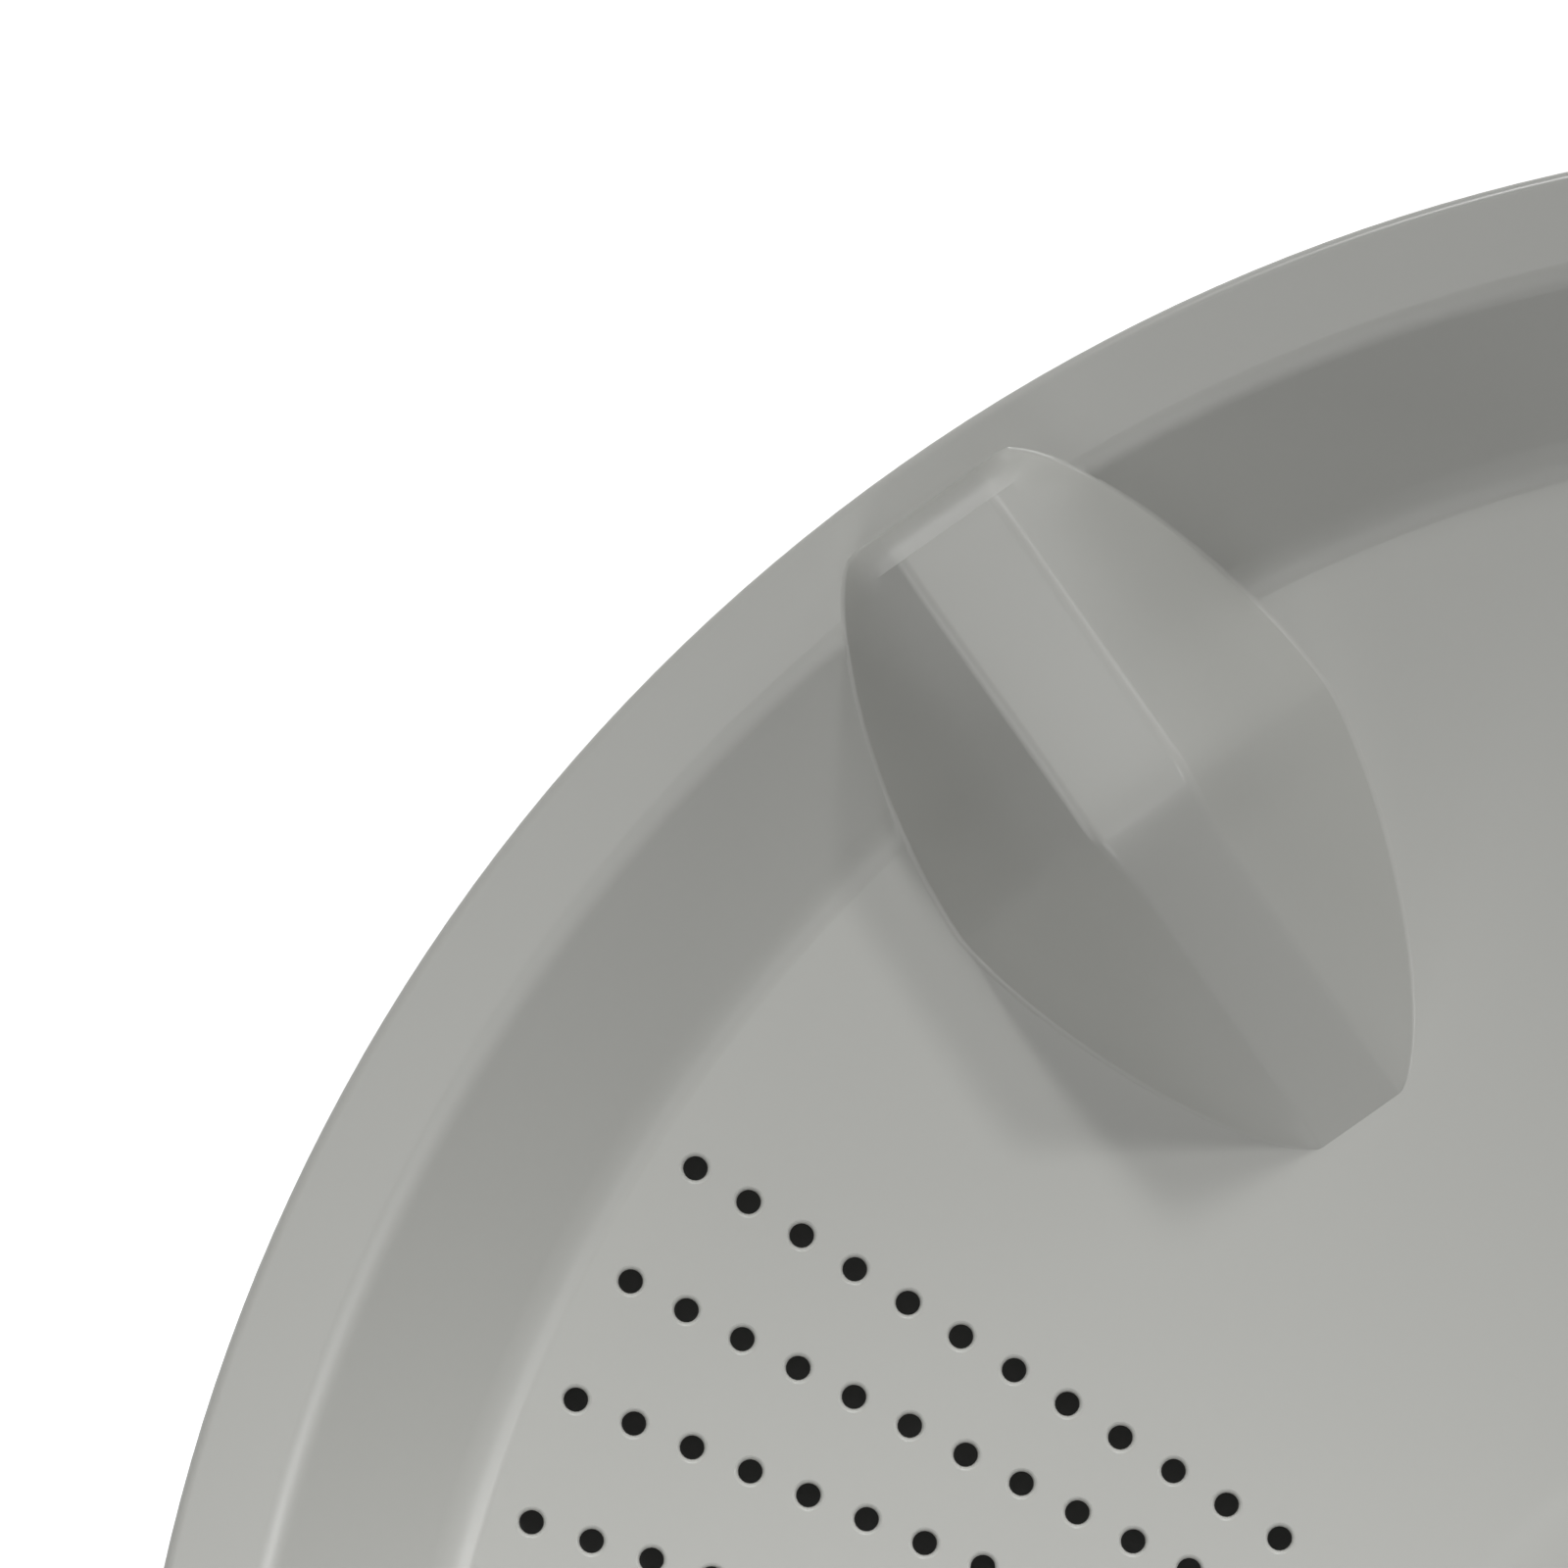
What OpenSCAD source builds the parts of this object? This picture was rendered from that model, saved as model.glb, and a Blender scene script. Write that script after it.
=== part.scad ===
// Pulsator of a top-loading washing machine: one moulding in light grey plastic.
// Millimetres, +Z up. The origin is on the axis of rotation, level with the skirt's lower edge.

/* [Dish] */
// Diameter of the disc over its rim
disc_d = 360; // [340:1:380]
// Height from the skirt's lower edge to the flat rim band
rim_h = 26; // [24:0.5:32]
// Width of the flat rim band
rim_band_w = 10; // [8:0.5:12]
// Depth of the floor below the rim band
dish_depth = 11.5; // [9:0.5:12]
// Angle of the wall between floor and rim band
slope_angle = 35; // [30:1:45]
// Radius of the hollow fillet where the floor turns up into the wall
slope_fillet_r = 12.5; // [6:0.5:16]
// Radius that rounds the inner edge of the rim band
band_edge_r = 5; // [1:0.5:8]
// Radius that rounds the outer edge of the rim
rim_edge_r = 1; // [0.5:0.1:2.4]
// Wall thickness of the moulding
wall = 2.5; // [2:0.1:3.2]
// Height of the fine bead that frames the perforated floor
bead_h = 0.25; // [0.15:0.05:0.6]
// Width of that bead
bead_w = 1; // [0.6:0.1:1.6]

/* [Fins] */
// Number of fins round the dish
fin_count = 6; // [3:1:6]
// Distance from the axis to a fin's inner tip
fin_tip_r = 101.5; // [96:0.5:106]
// Distance from the axis to the knee, where the level crest turns down into the nose
fin_knee_r = 138.5; // [134:0.5:144]
// Distance from the outer edge of the disc in to the fin's outer end
fin_end_inset = 4.5; // [4:0.5:8]
// Greatest width of the fin, at the knee
fin_w = 43.6; // [36:0.1:46]
// Width of the flat strip along the middle of the fin
strip_w = 10.6; // [6:0.1:13]
// Height of the crest above the floor at the knee
crest_h = 23; // [18:0.5:26]
// Fall of the crest from the knee to the outer end
crest_fall = 1.2; // [0:0.1:2]
// Angle of the steep face at the fin's outer end
end_angle = 76; // [60:1:80]
// Power of the curve that the leaf outline follows along the nose, 2 for an ellipse
nose_power = 1.4; // [1.2:0.05:2]
// Power of that curve from the knee outwards
crest_power = 1.7; // [1.4:0.05:2]
// Radius along the edges of the strip
strip_edge_r = 2; // [0.6:0.1:2.6]
// Softness of the bends between nose, crest and end face
bend_soft = 1.6; // [0.5:0.1:3]
// Wall thickness of the hollow fin
fin_wall = 2.3; // [1.8:0.1:3]
// Number of chambers under a fin
chamber_count = 3; // [2:1:4]
// Length of the tip that stays solid
tip_solid = 4; // [3:0.5:8]
// Thickness of the webs inside a fin
web_t = 1.8; // [1.2:0.1:2.5]

/* [Drain holes] */
// Diameter of a drain hole
hole_d = 2.4; // [1.8:0.1:3]
// Distance along a row from hole to hole
hole_pitch = 6.16; // [5:0.01:7]
// Distance from the axis to the outermost hole of a row
hole_outer_r = 146.4; // [140:0.1:147]
// Number of holes in a row
holes_per_row = 12; // [6:1:12]
// Number of rows between two fins
row_count = 4; // [2:2:4]
// Angle from row to row
row_step = 5; // [4:0.5:6]

/* [Hub] */
// Rise of the hub's flat top above the floor
hub_rise = 12; // [8:0.5:14]
// Radius of the hub's flat top
hub_top_r = 25; // [22:0.5:32]
// Radius of the hub's foot on the floor
hub_foot_r = 57; // [50:0.5:60]
// Radius of the round edge of the hub's top
hub_edge_r = 8; // [4:0.5:12]
// Radius of the fillet at the hub's foot
hub_fillet_r = 24; // [10:1:30]
// Diameter of the recess for the head of the fixing screw
recess_d = 24; // [20:0.5:30]
// Depth of that recess
recess_depth = 6; // [4:0.5:8]
// Diameter of the hole for the fixing screw
screw_hole_d = 6.5; // [5:0.1:8.5]
// Thickness of the seat that the fixing screw clamps
seat_t = 4; // [3:0.5:6]
// Outer diameter of the boss round the drive socket
boss_d = 32; // [28:0.5:38]
// Height of the boss's lower end above the skirt's lower edge
boss_clear = 1; // [0.5:0.5:4]

/* [Drive socket] */
// Number of serrations
tooth_count = 18; // [10:1:24]
// Diameter over the tips of the serrations
tooth_tip_d = 12; // [10:0.1:14]
// Depth of a serration
tooth_depth = 1; // [0.6:0.1:1.4]
// Width of the flat tip of a serration
tooth_land = 0.5; // [0.3:0.1:0.8]
// Diameter of the plain pilot bore below the serrations
pilot_d = 15; // [14.5:0.1:18]
// Length of the pilot bore
pilot_len = 6; // [4:0.5:8]

/* [Ribs] */
// Depth of the ribs below the floor plate
rib_depth = 5; // [3:0.5:7]
// Thickness of the ribs
rib_t = 2; // [1.4:0.1:2.4]
// Number of radial ribs between two fins
ribs_between = 3; // [1:2:3]
// Angle from radial rib to radial rib
rib_step = 15; // [12:1:16]
// Distance from the axis to the inner ring rib
inner_ring_r = 70; // [66:0.5:74]

/* [Hidden] */

// Small overlap where one shape is cut by or sunk into another
eps = 0.6;
disc_r = disc_d / 2;
floor_z = rim_h - dish_depth;
band_r = disc_r - rim_band_w;
slope_foot_r = band_r - dish_depth / tan(slope_angle);
floor_r = slope_foot_r - slope_fillet_r * tan(slope_angle / 2);
fillet_end_r = floor_r + slope_fillet_r * sin(slope_angle);
flat_band_r = band_r + band_edge_r * tan(slope_angle / 2);
slope_end_r = flat_band_r - band_edge_r * sin(slope_angle);
under_z = floor_z - wall;
hub_z = floor_z + hub_rise;
seat_z = hub_z - recess_depth;
socket_top_z = seat_z - seat_t;
fin_step = 360 / fin_count;
fin_end_r = disc_r - fin_end_inset;
// The leaf outline would close a little outside the steep end face, which cuts it off
leaf_end_r = fin_end_r + 2;
bead_r = floor_r - bead_w / 2;
// Facets of the round shapes, which are true curves in the solid
round_fn = 180;
bore_fn = 96;
hole_fn = 24;
// Points along a rounded corner of a profile, and of a fin's section
corner_steps = 6;
edge_steps = 3;
// Sections along the nose, along the crest and along one chamber of a fin
nose_sections = 11;
crest_sections = 15;
chamber_sections = 4;
// Radius of the corners inside a fin and of those under the rim
chamber_edge_r = 0.4;
under_edge_r = 0.2;
// Least step between two points of a fin's section
fine = 0.01;
// Largest share of a side that a rounded corner takes
side_share = 0.9;
// Length by which a rib is sunk into the boss
rib_root = 2;
// Half the width of the groove between two serrations, at its mouth
groove_w = (PI * tooth_tip_d / tooth_count - tooth_land) / 2;

// Points of the arc that rounds corner b of the path a, b, c with radius r, or less where bc is short
function corner(a, b, c, r, steps = corner_steps) =
    let (
        u = (a - b) / norm(a - b),
        v = (c - b) / norm(c - b),
        half = acos(u * v) / 2,
        set_back = min(r / tan(half), side_share * norm(c - b)),
        arc_r = set_back * tan(half),
        mid = b + (u + v) / norm(u + v) * arc_r / sin(half),
        from = b + u * set_back - mid,
        to = b + v * set_back - mid
    )
    [for (i = [0:steps]) let (w = from * (steps - i) + to * i) mid + w / norm(w) * arc_r];

// A path with its inner corners rounded, each by its own radius
function rounded(path, radii) = [
    path[0],
    for (i = [1:len(path) - 2]) each corner(path[i - 1], path[i], path[i + 1], radii[i - 1]),
    path[len(path) - 1]
];

// Unit normal on the right-hand side of the way from a to b
function right_of(a, b) = [b.y - a.y, a.x - b.x] / norm(b - a);

// A path moved to its right by t, with true mitred corners
function moved_right(path, t) = [
    for (i = [0:len(path) - 1])
        let (
            m = right_of(path[max(i - 1, 0)], path[max(i, 1)]),
            n = right_of(path[min(i, len(path) - 2)], path[min(i + 1, len(path) - 1)])
        )
        path[i] + t * (m + n) / (1 + m * n)
];

// Height of the dish's upper face at distance r from the axis, outside the hub
function dish_z(r) =
    r <= floor_r ? floor_z
    : r <= fillet_end_r ? floor_z + slope_fillet_r - sqrt(slope_fillet_r ^ 2 - (r - floor_r) ^ 2)
    : r <= slope_end_r ? floor_z + (r - slope_foot_r) * tan(slope_angle)
    : r <= flat_band_r ? rim_h - band_edge_r + sqrt(band_edge_r ^ 2 - (flat_band_r - r) ^ 2)
    : rim_h;

// Corners of the dish's upper face from the axis out to the skirt's lower edge
top_path = [
    [0, hub_z], [hub_top_r, hub_z], [hub_foot_r, floor_z], [slope_foot_r, floor_z],
    [band_r, rim_h], [disc_r, rim_h], [disc_r, 0]
];
top_radii = [hub_edge_r, hub_fillet_r, slope_fillet_r, band_edge_r, rim_edge_r];
under_radii = [
    max(hub_edge_r - wall, under_edge_r), hub_fillet_r + wall, slope_fillet_r + wall,
    max(band_edge_r - wall, under_edge_r), under_edge_r
];

// Smaller of a and b, with a soft change over about k
function soft_min(a, b, k) = (a + b - sqrt((a - b) ^ 2 + k ^ 2)) / 2;

// Height of the strip along a fin at distance u from the axis
function strip_z(u) =
    let (
        nose = floor_z + crest_h * (u - fin_tip_r) / (fin_knee_r - fin_tip_r),
        crest = floor_z + crest_h - crest_fall * (u - fin_knee_r) / (fin_end_r - fin_knee_r),
        end = rim_h + (fin_end_r - u) * tan(end_angle)
    )
    soft_min(soft_min(nose, crest, bend_soft), end, bend_soft);

// Fullness of the leaf outline, from 0 at either end to 1 at the knee
function leaf(u) =
    let (
        reach = u < fin_knee_r ? fin_knee_r - fin_tip_r : leaf_end_r - fin_knee_r,
        power = u < fin_knee_r ? nose_power : crest_power,
        share = min(1, abs(u - fin_knee_r) / reach)
    )
    (1 - share ^ power) ^ (1 / power);

// Half-width of the fin where its flanks meet the dish
function foot_w(u) = strip_w / 2 + (fin_w - strip_w) / 2 * leaf(u);

// Height at which the flanks meet the dish
function foot_z(u) = dish_z(norm([u, foot_w(u)]));

// Half of a fin's section at u, from the middle of the strip down past the dish's face.
// It lies t inside the outer surface, and ends depth below the dish's face.
function half_section(u, t, depth, edge_r) =
    let (
        crown = [strip_w / 2, max(min(strip_z(u), strip_z(u + t)), foot_z(u) - eps)],
        foot = [foot_w(u) + fine, min(foot_z(u), crown.y - fine)],
        way = (foot - crown) / norm(foot - crown),
        path = moved_right([[0, crown.y], crown, foot + way * eps], t),
        low = foot_z(u) - depth
    )
    [each corner(path[0], path[1], path[2], edge_r, edge_steps), path[2], [path[2].x, low]];

// Ring of points round a fin's section at u, in the fin's own frame with X along the fin
function fin_ring(u, t, depth, edge_r) =
    let (half = half_section(u, t, depth, edge_r), n = len(half))
    [
        for (i = [0:n - 1]) [u, -half[n - 1 - i].x, half[n - 1 - i].y],
        for (i = [0:n - 1]) [u, half[i].x, half[i].y]
    ];

// Closed loft through rings that hold the same number of points
module loft(rings) {
    n = len(rings[0]);
    last = len(rings) - 1;
    sides = [
        for (i = [0:last - 1], j = [0:n - 1])
            let (k = (j + 1) % n)
            each [
                [i * n + j, i * n + k, (i + 1) * n + j],
                [i * n + k, (i + 1) * n + k, (i + 1) * n + j]
            ]
    ];
    polyhedron(
        points = [for (ring = rings) each ring],
        faces = concat(
            sides,
            [[for (j = [n - 1:-1:0]) j]],
            [[for (j = [0:n - 1]) last * n + j]]
        ),
        convexity = 6
    );
}

// Stations from a to b, closer together towards both ends
function stations(a, b, count) = [for (i = [0:count]) a + (b - a) * (1 - cos(180 * i / count)) / 2];

// Outer body of a fin along +X, sunk into the plate of the dish
module fin_body() {
    along = concat(
        [fin_tip_r - 2 * eps],
        stations(fin_tip_r, fin_knee_r, nose_sections),
        [for (u = stations(fin_knee_r, fin_end_r, crest_sections)) if (u > fin_knee_r) u],
        [fin_end_r + eps]
    );
    loft([for (u = along) fin_ring(u, 0, wall / 2, strip_edge_r)]);
}

// Chambers of the hollow under a fin, with a web between each two
module fin_chambers() {
    from = fin_tip_r + tip_solid;
    pitch = (fin_end_r - fin_wall + web_t - from) / chamber_count;
    for (i = [0:chamber_count - 1])
        loft([
            for (k = [0:chamber_sections])
                fin_ring(
                    from + i * pitch + (pitch - web_t) * k / chamber_sections,
                    fin_wall, wall + eps, chamber_edge_r
                )
        ]);
}

module at_fins() {
    for (k = [0:fin_count - 1])
        rotate([0, 0, k * fin_step])
            children();
}

// Revolved shell of hub, floor, wall, rim band and skirt
module dish() {
    upper = rounded(top_path, top_radii);
    lower = rounded(moved_right(top_path, wall), under_radii);
    rotate_extrude($fn = round_fn)
        polygon(concat(upper, [for (i = [len(lower) - 1:-1:0]) lower[i]]));
}

module bead() {
    bead_radius = (bead_w ^ 2 / 4 + bead_h ^ 2) / (2 * bead_h);
    rotate_extrude($fn = round_fn)
        translate([bead_r, floor_z + bead_h - bead_radius])
            circle(r = bead_radius, $fn = hole_fn);
}

// Boss of the drive socket, from just above the skirt's lower edge up into the hub
module boss() {
    translate([0, 0, boss_clear])
        cylinder(d = boss_d, h = hub_z - wall / 2 - boss_clear, $fn = round_fn);
}

// Radial rib along +X: level below, and following the plate above
module radial_rib(from, to) {
    plate = moved_right(top_path, wall / 2);
    level = under_z - rib_depth;
    outline = concat(
        [[from, level]],
        [[from, hub_z - wall / 2]],
        [for (p = plate) if (p.x > from && p.x < to && p.y > level) p],
        to > band_r ? [[to, rim_h - wall / 2]] : [[to, floor_z - wall / 2]],
        [[to, level]]
    );
    rotate([90, 0, 0])
        translate([0, 0, -rib_t / 2])
            linear_extrude(rib_t)
                polygon(outline);
}

module ribs() {
    boss_in = boss_d / 2 - rib_root;
    at_fins() {
        radial_rib(boss_in, fin_tip_r + rib_t);
        for (i = [0:ribs_between - 1])
            rotate([0, 0, fin_step / 2 + (i - (ribs_between - 1) / 2) * rib_step])
                radial_rib(boss_in, disc_r - wall / 2);
    }
}

// Ring rib round the axis at distance r
module ring_rib(r) {
    rotate_extrude($fn = round_fn)
        translate([r - rib_t / 2, under_z - rib_depth])
            square([rib_t, rib_depth + wall / 2]);
}

module ring_ribs() {
    middle_gap = hole_outer_r - hole_pitch * (floor(holes_per_row / 2) - 0.5);
    ring_rib(inner_ring_r);
    ring_rib(middle_gap);
}

module drain_holes() {
    for (row = [0:row_count - 1], i = [0:holes_per_row - 1])
        rotate([0, 0, fin_step / 2 + (row - (row_count - 1) / 2) * row_step])
            translate([hole_outer_r - i * hole_pitch, 0, under_z - eps])
                cylinder(d = hole_d, h = wall + 2 * eps, $fn = hole_fn);
}

// Serrated socket with a plain pilot bore below and the screw hole and recess above
module drive_socket() {
    tip_r = tooth_tip_d / 2;
    groove = [
        [tip_r - tooth_depth, -2 * groove_w],
        [tip_r + tooth_depth, 0],
        [tip_r - tooth_depth, 2 * groove_w]
    ];
    serrated_z = boss_clear + pilot_len;
    translate([0, 0, -eps])
        cylinder(d = pilot_d, h = serrated_z + eps, $fn = bore_fn);
    translate([0, 0, serrated_z - eps])
        linear_extrude(socket_top_z - serrated_z + eps) {
            circle(r = tip_r, $fn = bore_fn);
            for (i = [0:tooth_count - 1])
                rotate([0, 0, i * 360 / tooth_count])
                    polygon(groove);
        }
    translate([0, 0, socket_top_z - eps])
        cylinder(d = screw_hole_d, h = seat_t + 2 * eps, $fn = bore_fn);
    translate([0, 0, seat_z])
        cylinder(d = recess_d, h = recess_depth + eps, $fn = bore_fn);
}

module pulsator() {
    color([0.67, 0.68, 0.66])
        difference() {
            union() {
                dish();
                bead();
                boss();
                ribs();
                ring_ribs();
                at_fins()
                    fin_body();
            }
            at_fins() {
                fin_chambers();
                drain_holes();
            }
            drive_socket();
        }
}

pulsator();
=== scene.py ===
"""Looks of a washing machine pulsator: one moulding in light grey plastic, seen straight from above.

The moulding is modelled in millimetres and brought to metres when it is finished. Its forms follow those
of the solid model within about a millimetre, and its edges and feet are rounded as on a real one.
"""

import logging
import math
from dataclasses import dataclass
from enum import Enum
from functools import cached_property
from typing import Sequence

import bmesh
import bpy
from mathutils import Matrix, Vector


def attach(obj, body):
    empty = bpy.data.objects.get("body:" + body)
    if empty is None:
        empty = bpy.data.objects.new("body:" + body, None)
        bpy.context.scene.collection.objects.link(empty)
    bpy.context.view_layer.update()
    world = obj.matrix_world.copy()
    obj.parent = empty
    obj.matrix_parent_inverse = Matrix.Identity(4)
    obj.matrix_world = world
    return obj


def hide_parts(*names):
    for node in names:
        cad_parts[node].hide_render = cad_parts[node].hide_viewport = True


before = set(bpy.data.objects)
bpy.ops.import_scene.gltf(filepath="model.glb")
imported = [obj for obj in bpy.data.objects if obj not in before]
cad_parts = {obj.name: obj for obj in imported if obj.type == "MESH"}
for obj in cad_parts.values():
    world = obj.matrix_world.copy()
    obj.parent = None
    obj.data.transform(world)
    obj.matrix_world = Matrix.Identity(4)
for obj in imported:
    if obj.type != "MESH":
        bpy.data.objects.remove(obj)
LOG = logging.getLogger("pulsator")

MM = 0.001
FULL_TURN = math.tau
# The photograph's frame: its width on the rim's plane, in metres
FRAME_W = 0.1532
# Largest share of a side that a rounded corner takes
SIDE_SHARE = 0.9
# Millimetres within which two points of a spun wire are one, and two corners of the finished moulding
SAME_POINT = 1e-4
SAME_CORNER = 1e-3
# How many fins the dish has, and how far their tips are from the axis in millimetres
FIN_COUNT = 6
FIN_TIP_R = 101.5


class Carve(Enum):
    """How one solid works on another."""

    JOIN = "UNION"
    CUT = "DIFFERENCE"


class Side(Enum):
    """Half of a fin's section, by the sign of its offset from the middle."""

    LEFT = -1
    RIGHT = 1


# Working with meshes


def wire(
    bm: bmesh.types.BMesh, points: Sequence[Sequence[float]], closed: bool = False
) -> list[bmesh.types.BMVert]:
    """Lays a wire through points of the XZ plane.

    Args:
        bm: The mesh that takes the wire.
        points: Distance from the axis and height of each point.
        closed: Whether the last point is joined to the first.

    Returns:
        The new vertices in order.
    """
    verts = [bm.verts.new((x, 0.0, z)) for x, z in points]
    ends = verts[1:] + verts[:1] if closed else verts[1:]
    for a, b in zip(verts, ends):
        bm.edges.new((a, b))
    return verts


def round_corner(bm: bmesh.types.BMesh, vert: bmesh.types.BMVert, radius: float, segments: int) -> None:
    """Rounds a corner of a wire with an arc.

    Args:
        bm: The mesh that holds the wire.
        vert: The corner, with two edges.
        radius: Radius of the arc in millimetres.
        segments: Edges along the arc.
    """
    a, b = (e.other_vert(vert).co - vert.co for e in vert.link_edges)
    turn = math.pi - a.angle(b)
    bmesh.ops.bevel(
        bm, geom=[vert], offset=radius * math.tan(turn / 2), offset_type="OFFSET", affect="VERTICES",
        segments=segments, profile=0.5, material=-1, clamp_overlap=False,
    )


def arc_at(a: Vector, b: Vector, c: Vector, radius: float, segments: int) -> list[Vector]:
    """Points of the arc that rounds the corner b of the path a, b, c.

    Where a side is too short for the radius, the arc is a smaller one.

    Args:
        a: Point before the corner.
        b: The corner.
        c: Point after the corner.
        radius: Radius of the arc.
        segments: Edges along the arc.

    Returns:
        The points from the first side to the second.
    """
    u, v = (a - b).normalized(), (c - b).normalized()
    half = u.angle(v) / 2
    set_back = min(radius / math.tan(half), SIDE_SHARE * (a - b).length, SIDE_SHARE * (c - b).length)
    radius = set_back * math.tan(half)
    middle = b + (u + v).normalized() * radius / math.sin(half)
    start, end = b + u * set_back - middle, b + v * set_back - middle
    return [middle + start.lerp(end, i / segments).normalized() * radius for i in range(segments + 1)]


def moved_right(path: Sequence[Vector], t: float) -> list[Vector]:
    """Moves a path to its right, with mitred corners.

    Args:
        path: Corners of the path.
        t: How far it is moved.

    Returns:
        The moved corners.
    """
    ways = [(b - a).normalized() for a, b in zip(path, path[1:])]
    rights = [Vector((w.y, -w.x)) for w in ways]
    pairs = zip(rights[:1] + rights, rights + rights[-1:])
    return [p + (m + n) * t / (1 + m.dot(n)) for p, (m, n) in zip(path, pairs)]


def soft_min(a: float, b: float, softness: float) -> float:
    """Smaller of two values, with a soft change over about the softness."""
    return (a + b - math.hypot(a - b, softness)) / 2


def spaced(a: float, b: float, count: int) -> list[float]:
    """Values from a to b that lie closer together towards both ends."""
    return [a + (b - a) * (1 - math.cos(math.pi * i / count)) / 2 for i in range(count + 1)]


def revolve(bm: bmesh.types.BMesh, steps: int) -> None:
    """Spins all of a wire a full turn round Z and closes its poles.

    Args:
        bm: The mesh that holds the wire.
        steps: Facets round the turn.
    """
    bmesh.ops.spin(
        bm, geom=bm.verts[:] + bm.edges[:], cent=(0, 0, 0), axis=(0, 0, 1), dvec=(0, 0, 0),
        angle=FULL_TURN, steps=steps, use_merge=True, use_duplicate=False,
    )
    bmesh.ops.remove_doubles(bm, verts=bm.verts[:], dist=SAME_POINT)
    bmesh.ops.recalc_face_normals(bm, faces=bm.faces[:])


def verts_of(geom: Sequence[object]) -> list[bmesh.types.BMVert]:
    """The vertices among what an operator made."""
    return [g for g in geom if isinstance(g, bmesh.types.BMVert)]


def pull(bm: bmesh.types.BMesh, face: bmesh.types.BMFace, way: Sequence[float]) -> None:
    """Extrudes a face into a closed solid.

    Args:
        bm: The mesh that holds the face.
        face: The face.
        way: How far it goes along X, Y and Z.
    """
    grown = bmesh.ops.extrude_face_region(bm, geom=[face])["geom"]
    bmesh.ops.translate(bm, verts=verts_of(grown), vec=way)
    bmesh.ops.recalc_face_normals(bm, faces=bm.faces[:])


def loft(bm: bmesh.types.BMesh, rings: Sequence[Sequence[Vector]]) -> None:
    """Extrudes a closed ring from station to station and caps both ends.

    Args:
        bm: The mesh that takes the loft.
        rings: Points of the ring at each station, equally many at each.
    """
    verts = [bm.verts.new(p) for p in rings[0]]
    edges = [bm.edges.new((a, b)) for a, b in zip(verts, verts[1:] + verts[:1])]
    caps = [edges]
    for ring in rings[1:]:
        grown = bmesh.ops.extrude_edge_only(bm, edges=edges)["geom"]
        fresh = set(verts_of(grown))
        verts = [next(e.other_vert(v) for e in v.link_edges if e.other_vert(v) in fresh) for v in verts]
        edges = [g for g in grown if isinstance(g, bmesh.types.BMEdge)
                 and all(v in fresh for v in g.verts)]
        for vert, point in zip(verts, ring):
            vert.co = point
    caps.append(edges)
    for rim in caps:
        bmesh.ops.contextual_create(bm, geom=rim)
    bmesh.ops.recalc_face_normals(bm, faces=bm.faces[:])


def repeat(bm: bmesh.types.BMesh, count: int, first: float = 0.0) -> None:
    """Repeats all of a mesh round Z, evenly over the full turn.

    Args:
        bm: The mesh.
        count: How many there are in the end.
        first: Angle in degrees to which the first is turned.
    """
    to_first = Matrix.Rotation(math.radians(first), 3, "Z")
    bmesh.ops.rotate(bm, verts=bm.verts[:], cent=(0, 0, 0), matrix=to_first)
    source = bm.verts[:] + bm.edges[:] + bm.faces[:]
    for i in range(1, count):
        copied = bmesh.ops.duplicate(bm, geom=source)["geom"]
        turn = Matrix.Rotation(FULL_TURN * i / count, 3, "Z")
        bmesh.ops.rotate(bm, verts=verts_of(copied), cent=(0, 0, 0), matrix=turn)


def absorb(bm: bmesh.types.BMesh, part: bmesh.types.BMesh) -> None:
    """Adds a mesh to another and frees it.

    Args:
        bm: The mesh that grows.
        part: The mesh that is added.
    """
    passing = bpy.data.meshes.new("passing")
    part.to_mesh(passing)
    part.free()
    bm.from_mesh(passing)
    bpy.data.meshes.remove(passing)


def solid(name: str, bm: bmesh.types.BMesh) -> bpy.types.Object:
    """Turns a bmesh into an object of the scene.

    Args:
        name: Name of the object.
        bm: The mesh, which is freed.

    Returns:
        The new object.
    """
    mesh = bpy.data.meshes.new(name)
    bm.to_mesh(mesh)
    bm.free()
    obj = bpy.data.objects.new(name, mesh)
    bpy.context.scene.collection.objects.link(obj)
    return obj


def carve(base: bpy.types.Object, tool: bpy.types.Object, how: Carve) -> None:
    """Joins a solid to another or cuts it out, and removes the tool.

    Args:
        base: The solid that is worked on.
        tool: The solid that is joined or cut out.
        how: Which of the two.
    """
    mod = base.modifiers.new("carve", "BOOLEAN")
    mod.operation, mod.solver, mod.object = how.value, "MANIFOLD", tool
    graph = bpy.context.evaluated_depsgraph_get()
    worked = bpy.data.meshes.new_from_object(base.evaluated_get(graph))
    base.modifiers.clear()
    old, base.data = base.data, worked
    spent = tool.data
    bpy.data.objects.remove(tool)
    bpy.data.meshes.remove(spent)
    bpy.data.meshes.remove(old)


# The moulding


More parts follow.
